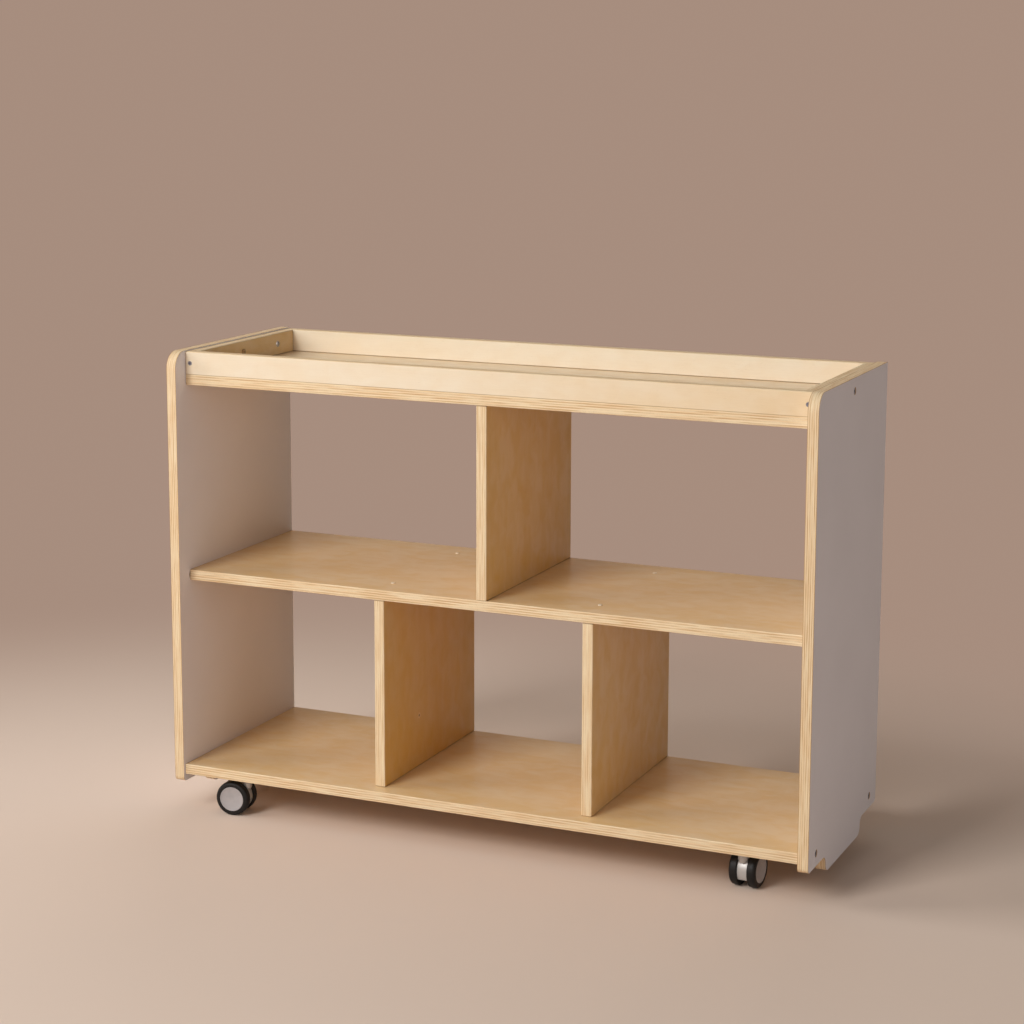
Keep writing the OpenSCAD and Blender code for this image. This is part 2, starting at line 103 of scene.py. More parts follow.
def feed(tree, socket, value):
    """Links an output into a socket, or writes a plain value on it."""
    if isinstance(value, bpy.types.NodeSocket):
        tree.links.new(value, socket)
    else:
        socket.default_value = value


def add(tree, kind, sockets=None, **options):
    """Adds a shader node, sets its options and feeds its sockets."""
    node = tree.nodes.new("ShaderNode" + kind)
    for name, value in options.items():
        setattr(node, name, value)
    for name, value in (sockets or {}).items():
        feed(tree, node.inputs[name], value)
    return node


def calc(tree, operation, *values, clamp=False):
    """One step of arithmetic on the surface."""
    node = add(tree, "Math", operation=operation, use_clamp=clamp)
    for socket, value in zip(node.inputs, values):
        feed(tree, socket, value)
    return node.outputs[0]


def mix(tree, factor, a, b):
    """Mixes two colours."""
    node = add(tree, "Mix", data_type="RGBA")
    feed(tree, node.inputs[MIX_FACTOR], factor)
    feed(tree, node.inputs[MIX_A], a)
    feed(tree, node.inputs[MIX_B], b)
    return node.outputs[MIX_COLOUR]


def remap(tree, value, low, high, to_low=0.0, to_high=1.0):
    """Stretches a value from one range to another and clamps it there."""
    sockets = {"Value": value, "From Min": low, "From Max": high, "To Min": to_low, "To Max": to_high}
    return add(tree, "MapRange", sockets).outputs[0]


# %% Helpers for patterns and materials
# Noise seldom leaves the middle of its range, so only this part of it is stretched over a colour or a gloss
COLOUR_SPAN = (0.35, 0.65)
GLOSS_SPAN = (0.3, 0.7)


def noise(tree, vector, detail=2.0, distortion=0.0):
    """Smooth random values from 0 to 1. The vector sets how large its blotches are."""
    sockets = {"Vector": vector, "Scale": 1.0, "Detail": detail, "Distortion": distortion}
    return add(tree, "TexNoise", sockets).outputs[0]


def even_noise(tree, place, scale, detail):
    """Noise that is the same size in every direction. scale is in blotches a metre."""
    scaled = add(tree, "Mapping", {"Vector": place, "Scale": (scale,) * 3}).outputs[0]
    return noise(tree, scaled, detail=detail)


def point(tree, x, y, z):
    """Joins three values into a vector."""
    return add(tree, "CombineXYZ", {"X": x, "Y": y, "Z": z}).outputs[0]


def new_material(name):
    """An empty material: its node tree and its Principled shader."""
    material = bpy.data.materials.new(name)
    material.use_nodes = True
    tree = material.node_tree
    return material, tree, tree.nodes["Principled BSDF"]


def roughen(tree, shader, height, strength, depth):
    """Gives the surface a fine relief. depth is in millimetres."""
    bump = add(tree, "Bump", {"Height": height, "Strength": strength, "Distance": depth * MM})
    feed(tree, shader.inputs["Normal"], bump.outputs[0])


def paint(name, material):
    """Gives a CAD node its finish."""
    mesh = nodes[name].data
    mesh.materials.clear()
    mesh.materials.append(material)


# %% [markdown]
# ## Birch plywood
# A plywood board is a stack of thin veneers, and each one's grain runs across the last. The two faces show
# one wide sheet of rotary-cut birch, smooth and faintly mottled. The edges show the stack: pale layers
# whose grain runs along the edge, and darker ones that are cut across. Pictures of wood would need every
# board unfolded and would repeat, so the wood is worked out instead. The shader asks each point which way
# its surface faces, so the same material draws faces and edges, and it counts layers through the thickness
# of the board.
# %% Colours and patterns of the birch
FACE_PALE = (0.84, 0.72, 0.55, 1)
FACE_WARM = (0.69, 0.39, 0.085, 1)
LAYER_PALE = (0.83, 0.665, 0.435, 1)
LAYER_TAN = (0.77, 0.555, 0.32, 1)
LAYER_DARK = (0.58, 0.35, 0.17, 1)
PORE = (0.36, 0.20, 0.09, 1)
# colour of the painted shade in the seams between boards
SEAM_SHADE = (0.20, 0.11, 0.05, 1)
PIN_HOLE = (0.10, 0.05, 0.02, 1)
LAYERS = 9

# Millimetres along the grain, across it and through the board, and an offset that keeps the patterns apart
FIGURE = (240, 48, 40), 0.0
MOTTLE = (34, 24, 30), 9.1
FIBRE = (34, 1.3, 20), 4.7
PORES = (5.5, 0.32, 20), 2.3
WANDER = (46, 60, 400), 6.6
SEED_STEPS = (3.17, 5.31, 2.77)
print("plywood of", LAYERS, "layers")

# %% [markdown]
# ## Where a point lies on a board
# Every pattern follows the board's own grain, at its true size, on long boards and short ones alike. Object
# coordinates give each point's place in metres. They are turned into millimetres from the board's centre,
# and then into a place in the noise, squeezed by the size of the pattern. Each board has a seed that moves
# it to another part of the noise, so no two boards show the same veneer.
# %% Places on a board and in the noise
def axis_values(tree, low, high):
    """Distances in millimetres from the board's centre, as three outputs."""
    place = add(tree, "TexCoord").outputs["Object"]
    centre = (low + high) / 2
    moved = add(tree, "Mapping", {"Vector": place, "Location": -centre / MM, "Scale": (1 / MM,) * 3})
    return add(tree, "SeparateXYZ", {0: moved.outputs[0]}).outputs


def stretched(tree, where, pattern):
    """A point in noise space. where is the place along, across and through the board, and its seed."""
    along, side, through, seed = where
    size, offset = pattern
    return point(tree,
                 calc(tree, "MULTIPLY_ADD", along, 1 / size[0], seed * SEED_STEPS[0] + offset),
                 calc(tree, "MULTIPLY_ADD", side, 1 / size[1], seed * SEED_STEPS[1]),
                 calc(tree, "MULTIPLY_ADD", through, 1 / size[2], seed * SEED_STEPS[2]))


# %% [markdown]
# ## The face of a board
# A rotary-cut veneer is peeled off the log like paper off a roll, so its figure is broad and cloudy. A ring
# pattern would look like sawn timber, so four sizes of plain noise are used: wide figure, soft mottling,
# fine fibres and short dark pores. The figure and the mottling choose between a pale and a golden colour,
# and the fibres and pores darken it.
# %% Face veneer
FIGURE_SHARE, FIGURE_SWIRL = 0.45, 0.9
MOTTLE_SHARE, MOTTLE_SWIRL = 0.55, 0.5
TONE_RANGE = (0.38, 0.62)
PALER, WARMER = 0.09, 0.10
# where the painted shade towards a board's far end begins, as a share of half its length
FALLOFF_START = -0.1
FIBRE_RANGE = (0.42, 0.72)
FIBRE_SHADE, FIBRE_SHADE_WARM = 0.035, 0.06
PORE_RANGE = (0.76, 0.84)
PORE_SHADE = 0.26
FIBRE_RELIEF, PORE_RELIEF = 0.35, -1.0


def face_veneer(tree, where, tone_and_shade, drift, reach):
    """The colour of the face, its mottling and its relief. drift is painted shade that makes the far half
    of the board darker and more golden, where less light falls, and reach is half the board's length in
    millimetres."""
    figure = noise(tree, stretched(tree, where, FIGURE), distortion=FIGURE_SWIRL)
    mottle = noise(tree, stretched(tree, where, MOTTLE), distortion=MOTTLE_SWIRL)
    fibre = noise(tree, stretched(tree, where, FIBRE))
    pore = noise(tree, stretched(tree, where, PORES), detail=0)
    figure_part = calc(tree, "MULTIPLY", figure, FIGURE_SHARE)
    tone = calc(tree, "ADD", figure_part, calc(tree, "MULTIPLY", mottle, MOTTLE_SHARE))
    # The board's range from pale to golden: part is the wood's own tone, part is painted shade on boards
    # that stand in shade
    golden = remap(tree, tone, *TONE_RANGE, max(0, tone_and_shade - PALER), min(1, tone_and_shade + WARMER))
    # painted shade: darker and more golden towards the board's far end
    if drift:
        painted_falloff = remap(tree, where[0], FALLOFF_START * reach, reach, 0.0, drift)
        golden = calc(tree, "ADD", golden, painted_falloff, clamp=True)
    face = mix(tree, golden, FACE_PALE, FACE_WARM)
    fibre_shade = FIBRE_SHADE + FIBRE_SHADE_WARM * tone_and_shade
    face = mix(tree, remap(tree, fibre, *FIBRE_RANGE, 0.0, fibre_shade), face, PORE)
    pores = remap(tree, pore, *PORE_RANGE, 0.0, PORE_SHADE)
    face = mix(tree, pores, face, PORE)
    fibre_relief = calc(tree, "MULTIPLY", fibre, FIBRE_RELIEF)
    relief = calc(tree, "ADD", fibre_relief, calc(tree, "MULTIPLY", pores, PORE_RELIEF))
    return face, mottle, relief


# %% [markdown]
# ## Filled pin holes
# One divider has a small filled hole in its face: a dark dot with a paler ring of filler round it. It is
# flush with the wood, so it needs no geometry. The shader measures the distance from the dot's centre and
# darkens or lightens the veneer by it.
# %% Pin mark
HOLE_INSIDE, HOLE_OUTSIDE, HOLE_SHADE = 1.0, 2.0, 0.9
RING_RADIUS, RING_WIDTH, RING_SHADE = 3.4, 1.6, 0.35


def pin_mark(tree, face, along, side, at_along, at_side):
    """A dark dot with a pale ring of filler round it, at a place on the face, in millimetres."""
    away = point(tree, calc(tree, "SUBTRACT", along, at_along), calc(tree, "SUBTRACT", side, at_side), 0.0)
    away = add(tree, "VectorMath", {0: away}, operation="LENGTH").outputs["Value"]
    from_ring = calc(tree, "ABSOLUTE", calc(tree, "SUBTRACT", away, RING_RADIUS))
    face = mix(tree, remap(tree, from_ring, 0.0, RING_WIDTH, RING_SHADE, 0.0), face, FACE_PALE)
    return mix(tree, remap(tree, away, HOLE_INSIDE, HOLE_OUTSIDE, HOLE_SHADE, 0.0), face, PIN_HOLE)


# %% [markdown]
# ## The edge of a board
# A sawn edge shows the stack. Thin boards could be stacked in geometry, but they would be perfectly even.
# The shader counts the layers through the thickness and lets the count wander a little, as real layers do.
# Every second layer is cut across its grain, so it is darker and specked. On the board's ends the order
# turns round, because the grain there points the other way.
# %% Layered edge
WANDER_REACH = 0.5
SHADE_SIZE, SHADE_STEP = 55, 3.7
STREAK_SIZE, STREAK_DEPTH = 9, 5.0
SPECK_SCALE, SPECK_DEPTH = 2.4, 1.6
DARK_RANGE, DARK_LEAST, DARK_MOST = (0.36, 0.66), 0.10, 0.95
TAN_RANGE, TAN_SHARE = (0.40, 0.60), 0.8
STREAK_RANGE, STREAK_SHARE = (0.45, 0.75), 0.16
SPECK_RANGE, SPECK_SHARE = (0.50, 0.72), 0.4
GLUE_RANGE, GLUE_SHARE = (0.44, 0.5), 0.28


def layered_edge(tree, where, thick, end_face, lines):
    """The colour of an edge. thick is in millimetres, and end_face is 1 where the face grain ends."""
    along, side, through, seed = where
    wander = noise(tree, stretched(tree, where, WANDER), detail=1)
    count = calc(tree, "MULTIPLY_ADD", through, LAYERS / thick, LAYERS / 2)
    count = calc(tree, "ADD", count, calc(tree, "MULTIPLY_ADD", wander, WANDER_REACH, -WANDER_REACH / 2))
    layer = calc(tree, "FLOOR", count)
    within = calc(tree, "FRACT", count)
    odd = calc(tree, "PINGPONG", layer, 1.0)
    cut_across = calc(tree, "ABSOLUTE", calc(tree, "SUBTRACT", odd, end_face))

    def scaled(scale, depth):
        """A point in noise space with one scale in the plane of the board."""
        return point(tree, calc(tree, "MULTIPLY", along, scale), calc(tree, "MULTIPLY", side, scale), depth)

    shade = noise(tree, scaled(1 / SHADE_SIZE, calc(tree, "MULTIPLY_ADD", layer, SHADE_STEP, seed)))
    streak = noise(tree, scaled(1 / STREAK_SIZE, calc(tree, "MULTIPLY", through, STREAK_DEPTH)))
    speck = noise(tree, scaled(SPECK_SCALE, calc(tree, "MULTIPLY", through, SPECK_DEPTH)))
    dark = remap(tree, shade, *DARK_RANGE, DARK_LEAST * lines, DARK_MOST * lines)
    dark_share = calc(tree, "MULTIPLY", cut_across, dark)
    pale = mix(tree, remap(tree, shade, *TAN_RANGE, 0.0, TAN_SHARE), LAYER_PALE, LAYER_TAN)
    edge = mix(tree, dark_share, pale, LAYER_DARK)
    edge = mix(tree, remap(tree, streak, *STREAK_RANGE, 0.0, STREAK_SHARE), edge, LAYER_DARK)
    specked = calc(tree, "MULTIPLY", cut_across, remap(tree, speck, *SPECK_RANGE, 0.0, SPECK_SHARE * lines))
    edge = mix(tree, specked, edge, PORE)
    from_middle = calc(tree, "ABSOLUTE", calc(tree, "SUBTRACT", within, 0.5))
    return mix(tree, remap(tree, from_middle, *GLUE_RANGE, 0.0, GLUE_SHARE * lines), edge, PORE)


# %% [markdown]
# ## Painted shade in the seams
# Where one board meets another, the joint shows as a thin dark line, because the eased edges leave a small
# groove that light hardly enters. The groove is in the mesh, but it is too fine to show from far away, so a
# thin line of painted shade darkens the wood along it. Under the tray's front rail the lamps shine straight
# into the groove, so the painted shade there is faint.
# %% Painted seam shade
# width in millimetres of the painted shade along a seam, and how dark it is where clear and where faint
SEAM_WIDTH = 1.3
CLEAR, FAINT = 0.7, 0.35


def painted_seam_shade(tree, wood, place, end, depth):
    """Paints shade into the wood within about a millimetre of a board's end. place and end are in
    millimetres, and depth is how dark the painted shade is, from 0 to 1."""
    from_end = calc(tree, "ABSOLUTE", calc(tree, "SUBTRACT", place, end))
    return mix(tree, remap(tree, from_end, SEAM_WIDTH / 2, SEAM_WIDTH, depth, 0.0), wood, SEAM_SHADE)


# %% [markdown]
# ## One board's material
# The surface of a board is a face where it looks along the thickness, and an edge everywhere else. Separate
# materials would need the faces sorted, and the sorting redone on every copy, so one material tells them
# apart by the normal. A thin clear lacquer on the face gives it a soft shine. The edge is sanded and left
# duller.
# %% Plywood material
SQUARE_ON = 0.9  # how nearly a surface must face an axis to count as facing it
END_RANGE = (0.3, 0.95)
SMOOTHING = 0.26
WOOD_ROUGHNESS = (0.60, 0.70)
WOOD_SPECULAR = 0.30
LACQUER, LACQUER_ROUGHNESS = 0.36, 0.12
WOOD_BUMP, WOOD_BUMP_DEPTH = 0.35, 0.06


def birch(name, low, high, thickness, grain, seed, tone_and_shade, lines, marks=(), drift=0.0, seam_shades=()):
    """Plywood for one board. thickness and grain are axis numbers. The tone goes from pale to golden and is
    partly the wood's own and partly painted shade, and lines is how clearly the layers show. marks are
    places of pin holes, and the seams are ends that meet another board, each as an axis, a side and the
    depth of the painted shade in it."""
    material, tree, shader = new_material(name)
    place = axis_values(tree, low, high)
    half = (high - low) / MM / 2
    across = 3 - thickness - grain  # the three axis numbers add up to 3
    where = (place[grain], place[across], place[thickness], seed)
    normal = add(tree, "SeparateXYZ", {0: add(tree, "TexCoord").outputs["Normal"]}).outputs

    face, mottle, relief = face_veneer(tree, where, tone_and_shade, drift, half[grain])
    for at_along, at_side in marks:
        face = pin_mark(tree, face, where[0], where[1], at_along, at_side)
    end_face = remap(tree, calc(tree, "ABSOLUTE", normal[grain]), *END_RANGE)
    edge = layered_edge(tree, where, 2 * half[thickness], end_face, lines)
    on_face = calc(tree, "GREATER_THAN", calc(tree, "ABSOLUTE", normal[thickness]), SQUARE_ON)
    wood = mix(tree, on_face, edge, face)
    # painted shade along the seams where this board meets another
    for axis, side, depth in seam_shades:
        wood = painted_seam_shade(tree, wood, place[axis], half[axis] if side else -half[axis], depth)

    feed(tree, shader.inputs["Base Color"], wood)
    sanded = remap(tree, mottle, *GLOSS_SPAN, *WOOD_ROUGHNESS)
    feed(tree, shader.inputs["Roughness"], calc(tree, "MULTIPLY_ADD", on_face, -SMOOTHING, sanded))
    shader.inputs["Specular IOR Level"].default_value = WOOD_SPECULAR
    feed(tree, shader.inputs["Coat Weight"], calc(tree, "MULTIPLY", on_face, LACQUER))
    shader.inputs["Coat Roughness"].default_value = LACQUER_ROUGHNESS
    roughen(tree, shader, relief, WOOD_BUMP, WOOD_BUMP_DEPTH)
    return material


# %% [markdown]
# ## Which way each board lies
# A maker lays the face grain along a board's longest side, except on the three dividers, where it stands
# upright. The dividers are more golden than the shelves, and the tray's rails are nearly white. Part of
# this is the wood's own tone and part is painted light and shade: golden and darker on the boards that
# stand in shade inside the bays, pale on the brightly lit rails. Each board gets its own material, because
# its centre, its seed and its tone with painted shade are its own.
# %% Boards
X, Y, Z = 0, 1, 2
# axis of the thickness, axis of the grain, warmth (the wood's tone with painted shade: golden on boards in
# shade), how clearly the layers show
BOARDS = {
    "bottom_shelf": (Z, X, 0.58, 0.85),
    "middle_shelf": (Z, X, 0.58, 0.95),
    "tray_floor": (Z, X, 0.36, 0.90),
    "upper_divider": (X, Z, 0.84, 0.60),
    "lower_left_divider": (X, Z, 0.96, 0.55),
    "lower_right_divider": (X, Z, 0.74, 0.60),
    "tray_front_rail": (Y, X, 0.03, 0.85),
    "tray_back_rail": (Y, X, 0.02, 0.85),
    "tray_left_board": (X, Y, 0.70, 0.70),
    "tray_right_board": (X, Y, 0.50, 0.70),
    "left_end_panel": (X, Z, 0.50, 0.85),
    "right_end_panel": (X, Z, 0.50, 1.0),
}
# ends that meet another board, as an axis, a side and how dark the painted shade in the seam is
TRAY_ENDS = ((Y, 0, CLEAR), (Y, 1, CLEAR), (Z, 0, CLEAR))
DIVIDER_ENDS = ((Z, 0, CLEAR), (Z, 1, CLEAR))
PAINTED_SEAM_SHADES = {
    "tray_back_rail": ((Z, 0, CLEAR),), "tray_front_rail": ((Z, 0, FAINT),), "tray_left_board": TRAY_ENDS,
    "tray_right_board": TRAY_ENDS, "upper_divider": DIVIDER_ENDS, "lower_left_divider": DIVIDER_ENDS,
    "lower_right_divider": DIVIDER_ENDS,
}
PIN_MARKS = {"lower_left_divider": ((148.2, -26.7),)}  # millimetres along the grain and across it
# painted shade: the front rail darker and more golden towards its right end, where less light falls
FAR_END_SHADE = {"tray_front_rail": 0.34}
print("boards with seams:", len(PAINTED_SEAM_SHADES))

# %% Paint the boards
for number, (board, (thickness, grain, tone_and_shade, lines)) in enumerate(BOARDS.items(), start=1):
    low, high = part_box(board)
    centre = (low + high) / 2 / MM
    across = 3 - thickness - grain
    marks = [(a - centre[grain], b - centre[across]) for a, b in PIN_MARKS.get(board, ())]
    drift = FAR_END_SHADE.get(board, 0.0)
    seam_shades = PAINTED_SEAM_SHADES.get(board, ())
    seed = float(number)
    wood = birch("birch_" + board, low, high, thickness, grain, seed, tone_and_shade, lines, marks, drift, seam_shades)
    paint(board, wood)
print("boards painted:", len(BOARDS))

# %% [markdown]
# ## Laminate on the end panels
# Each face of an end panel carries a hard pale sheet, pressed from paper and resin. Its surface is matt
# with a very fine grain, and its cut edge shows the brown core as a thin line beside the plywood. One flat
# colour would look like paint, so a faint cloud drifts through the sheet, and a fine grit gives it its dull
# shine.
# %% Laminate
SHEET = (0.82, 0.765, 0.77, 1)
SHEET_SHADE = (0.79, 0.735, 0.74, 1)
SHEET_CORE = (0.50, 0.29, 0.13, 1)
SHEET_ROUGHNESS = (0.46, 0.56)
SHEET_BUMP, SHEET_BUMP_DEPTH = 0.25, 0.03
CLOUDS_A_METRE, GRITS_A_METRE = 6, 1400
LAMINATES = ["left_outer_laminate", "left_inner_laminate", "right_outer_laminate", "right_inner_laminate"]


def laminate():
    """Matt pale sheet with a brown cut edge."""
    material, tree, shader = new_material("laminate")
    place = add(tree, "TexCoord")
    facing = add(tree, "SeparateXYZ", {0: place.outputs["Normal"]}).outputs["X"]
    on_sheet = calc(tree, "GREATER_THAN", calc(tree, "ABSOLUTE", facing), SQUARE_ON)
    cloud = even_noise(tree, place.outputs["Object"], CLOUDS_A_METRE, detail=3)
    grit = even_noise(tree, place.outputs["Object"], GRITS_A_METRE, detail=1)
    sheet = mix(tree, remap(tree, cloud, *COLOUR_SPAN), SHEET, SHEET_SHADE)
    feed(tree, shader.inputs["Base Color"], mix(tree, on_sheet, SHEET_CORE, sheet))
    feed(tree, shader.inputs["Roughness"], remap(tree, grit, *GLOSS_SPAN, *SHEET_ROUGHNESS))
    roughen(tree, shader, grit, SHEET_BUMP, SHEET_BUMP_DEPTH)
    return material


sheet_material = laminate()
for name in LAMINATES:
    paint(name, sheet_material)
print("laminate on:", LAMINATES)

# %% [markdown]
# ## Metal, plastic and rubber
# The fasteners are zinc-plated or dark, the caster housings are painted silver, the wheel caps are grey
# plastic and the tyres are black. Real ones are handled and rubbed, so none has one even colour or shine.
# One function makes them all: colour and gloss drift together over blotches of a few millimetres, and a
# fine grain breaks up the reflection.
# %% Hardware material
FINE_A_METRE = 2600
GRAIN_DEPTH = 0.04
GLOSS_DRIFT = 0.05
RUBBER_SPECULAR = 0.3


def hardware(name, colour, other, roughness, size, metal=0.0, grain=0.0):
    """A finish whose colour and gloss drift. size is that of its blotches, in millimetres."""
    material, tree, shader = new_material(name)
    place = add(tree, "TexCoord").outputs["Object"]
    drift = even_noise(tree, place, 1 / (size * MM), detail=3)
    fine = even_noise(tree, place, FINE_A_METRE, detail=1)
    feed(tree, shader.inputs["Base Color"], mix(tree, remap(tree, drift, *COLOUR_SPAN), colour, other))
    gloss = remap(tree, drift, *GLOSS_SPAN, roughness - GLOSS_DRIFT, roughness + GLOSS_DRIFT)
    feed(tree, shader.inputs["Roughness"], gloss)
    shader.inputs["Metallic"].default_value = metal
    if grain:
        roughen(tree, shader, fine, grain, GRAIN_DEPTH)
    return material


# %% Hardware finishes
# two colours, roughness, size of the blotches in millimetres
steel = hardware(
    "zinc_plated_steel", (0.62, 0.61, 0.60, 1), (0.52, 0.51, 0.50, 1), 0.32, 6, metal=1.0, grain=0.2)
dark_steel = hardware(
    "dark_steel", (0.26, 0.26, 0.30, 1), (0.34, 0.34, 0.39, 1), 0.36, 4, metal=0.7, grain=0.2)
bronze = hardware(
    "aged_bronze", (0.33, 0.21, 0.10, 1), (0.42, 0.28, 0.14, 1), 0.40, 4, metal=0.7, grain=0.2)
cap_plastic = hardware("cap_plastic", (0.80, 0.66, 0.49, 1), (0.76, 0.62, 0.45, 1), 0.40, 5)
dowel_wood = hardware("dowel_wood", (0.70, 0.52, 0.32, 1), (0.62, 0.44, 0.26, 1), 0.60, 3, grain=0.5)
housing_paint = hardware(
    "housing_paint", (0.56, 0.54, 0.52, 1), (0.50, 0.48, 0.46, 1), 0.34, 14, metal=0.35, grain=0.15)
rim_plastic = hardware("rim_plastic", (0.42, 0.385, 0.38, 1), (0.39, 0.36, 0.355, 1), 0.42, 9, grain=0.5)
tyre_rubber = hardware(
    "tyre_rubber", (0.006, 0.005, 0.005, 1), (0.010, 0.008, 0.007, 1), 0.50, 8, grain=0.5)
rubber_shader = tyre_rubber.node_tree.nodes["Principled BSDF"]
rubber_shader.inputs["Specular IOR Level"].default_value = RUBBER_SPECULAR

# %% Which piece gets which finish
FINISHES = {
    "base_screws": dark_steel, "tray_side_bolts": dark_steel, "tray_side_nuts": bronze,
    "tray_rail_screws": dark_steel, "tray_board_screws": steel, "tray_floor_screws": steel,
    "divider_top_screws": steel, "divider_caps": cap_plastic, "divider_foot_screws": steel,
    "upper_divider_screws": steel, "upper_divider_dowels": dowel_wood, "caster_inserts": steel,
}
CORNERS = ["front_left", "front_right", "back_left", "back_right"]
WHEELS = ["1", "2"]
for corner in CORNERS:
    FINISHES.update({corner + "_stem": steel, corner + "_axle": steel, corner + "_housing": housing_paint})
    for wheel in WHEELS:
        FINISHES.update({f"{corner}_rim_{wheel}": rim_plastic, f"{corner}_tyre_{wheel}": tyre_rubber})
for name, material in FINISHES.items():
    paint(name, material)
print("hardware pieces painted:", len(FINISHES))

# %% [markdown]
# ## Softened edges
# No real edge is perfectly sharp. Moulded and pressed parts leave their tools with small radii, and a
# fitter runs a file round the laminate so that it doesn't cut. These radii catch the light as thin bright
# lines. The CAD model leaves them out, and its own mesh may not be changed. So a copy of each such node is
# merged, its flat faces are joined, and a Bevel modifier rounds its sharp edges. The copy then stands for
# the node.
# %% Helpers for copies that stand for a node
bodies = frame["record"]["behaviour"]["bodies"]
body_of_node = {node: body for body, members in bodies.items() for node in members}
MERGE_WITHIN = 0.005  # millimetres
FLAT_WITHIN = 0.5     # degrees


def merged_copy(name):
    """A new object with the node's mesh, its doubled points merged and its flat faces joined."""
    mesh = nodes[name].data.copy()
    piece = bpy.data.objects.new(name + "_soft", mesh)
    bpy.context.scene.collection.objects.link(piece)
    bpy.ops.object.select_all(action="DESELECT")
    piece.select_set(True)
    bpy.context.view_layer.objects.active = piece
    bpy.ops.mesh.customdata_custom_splitnormals_clear()
    bpy.ops.object.mode_set(mode="EDIT")
    bpy.ops.mesh.select_mode(type="EDGE")
    bpy.ops.mesh.select_all(action="SELECT")
    bpy.ops.mesh.remove_doubles(threshold=MERGE_WITHIN * MM)
    bpy.ops.mesh.dissolve_limited(angle_limit=math.radians(FLAT_WITHIN))
    bpy.ops.mesh.select_all(action="DESELECT")
    bpy.ops.object.mode_set(mode="OBJECT")
    return piece


def stands_for(piece, name):
    """Gives the piece the node's body, and hides the node."""
    piece.select_set(False)
    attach(piece, body_of_node[name])
    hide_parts(name)
    return piece


def softened(name, radius, steps, sharp=35, smooth=40):
    """A copy of a CAD node with its sharp edges rounded. radius is in millimetres, angles in degrees."""
    piece = merged_copy(name)
    bevel = piece.modifiers.new("round_over", "BEVEL")
    bevel.width = radius * MM
    bevel.segments = steps
    bevel.limit_method = "ANGLE"
    bevel.angle_limit = math.radians(sharp)
    bpy.ops.object.modifier_apply(modifier=bevel.name)
    bpy.ops.object.shade_smooth_by_angle(angle=math.radians(smooth))
    return stands_for(piece, name)


# %% Soften the casters and the laminate
HOUSING_ROUND, RIM_ROUND, SHEET_ROUND = (0.6, 3), (0.2, 2), (0.25, 1)  # radius in millimetres and steps
for corner in CORNERS:
    soft = [softened(corner + "_housing", *HOUSING_ROUND)]
    for wheel in WHEELS:
        soft.append(softened(f"{corner}_rim_{wheel}", *RIM_ROUND))
    print(corner, "softened:", [len(piece.data.polygons) for piece in soft], "faces")
for name in LAMINATES:
    piece = softened(name, *SHEET_ROUND)
    print(name, "softened:", len(piece.data.polygons), "faces")

# %% [markdown]
# ## Eased edges on the boards
# A joiner draws fine sandpaper along every sawn edge, which takes off about half a millimetre. It shows as
# a thin light line on an open edge, and as a thin dark line where two boards meet. A modifier would ease
# the rims of the screw holes as well, which are left sharp, so the edges along the outside of each board
# are picked by their place on the faces of the board's box, and only these are bevelled.
# %% Ease the boards
EASE = 0.5
ON_BOX_WITHIN = 0.02
SHORTEST_EDGE = 2
EASED_SMOOTH = 30
INSIDE_BOARDS = [board for board in BOARDS if not board.endswith("end_panel")]


def eased(name, width):
    """A copy of a straight board with its outer edges chamfered by a width in millimetres."""
    piece = merged_copy(name)
    low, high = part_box(name)

    def planes(place):
        """The faces of the board's box that a place lies on."""
        return {(axis, side) for axis in range(3) for side, at in enumerate((low, high))
                if abs(place[axis] - at[axis]) < ON_BOX_WITHIN * MM}

    mesh = piece.data
    for edge in mesh.edges:
        start, end = (mesh.vertices[index].co for index in edge.vertices)
        edge.select = len(planes(start) & planes(end)) > 1 and (end - start).length > SHORTEST_EDGE * MM
    bpy.ops.object.mode_set(mode="EDIT")
    bpy.ops.mesh.bevel(offset=width * MM, offset_type="OFFSET", segments=1, affect="EDGES")
    bpy.ops.object.mode_set(mode="OBJECT")
    bpy.ops.object.shade_smooth_by_angle(angle=math.radians(EASED_SMOOTH))
    return stands_for(piece, name)


for board in INSIDE_BOARDS:
    piece = eased(board, EASE)
    print(board, "eased:", len(piece.data.polygons), "faces")

# %% [markdown]
# ## Domed screw caps
# Four pale moulded caps press into the holes over the screws in the middle shelf. Each is a low dome with a
# short stem. A flattened sphere would have no rim to sit on the shelf with, so one cap is worked from a
# disc: the stem is drawn down from its underside, and the rim of its top is rounded until little of the
# flat is left. The others are copies. Their places come from the box round the caps of the CAD model.
# %% Sizes and places of the caps
CAP_RADIUS = 3.1
CAP_HEIGHT = 1.5
CAP_ROUND = 1.4
CAP_SIDES, CAP_ROUND_STEPS, CAP_SMOOTH = 32, 6, 50
STEM_INSET = 0.9
STEM_DEPTH = 1.5
CAD_CAP_RADIUS = 3.3
shelf_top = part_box("middle_shelf")[1].z
caps_low, caps_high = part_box("divider_caps")
caps_middle = (caps_low + caps_high) / 2
cap_reach = (caps_high - caps_low) / 2
out_x, out_y = cap_reach.x - CAD_CAP_RADIUS * MM, cap_reach.y - CAD_CAP_RADIUS * MM
cap_places = [(caps_middle.x + side * out_x, caps_middle.y + depth * out_y)
              for side in (-1, 1) for depth in (-1, 1)]
print("caps at (mm):", [(round(x / MM, 1), round(y / MM, 1)) for x, y in cap_places])

# %% Work one cap
bpy.ops.object.select_all(action="DESELECT")
first_x, first_y = cap_places[0]
bpy.ops.mesh.primitive_cylinder_add(vertices=CAP_SIDES, radius=CAP_RADIUS * MM, depth=CAP_HEIGHT * MM,
                                    location=(first_x, first_y, shelf_top + CAP_HEIGHT * MM / 2))
cap = bpy.context.object
cap.name = "domed_cap"
bpy.ops.object.transform_apply(location=True, rotation=True, scale=True)


def pick_faces(piece, upward):
    """Selects the flat faces of a piece that look up, or down."""
    for face in piece.data.polygons:
        face.select = face.normal.z * (1 if upward else -1) > SQUARE_ON


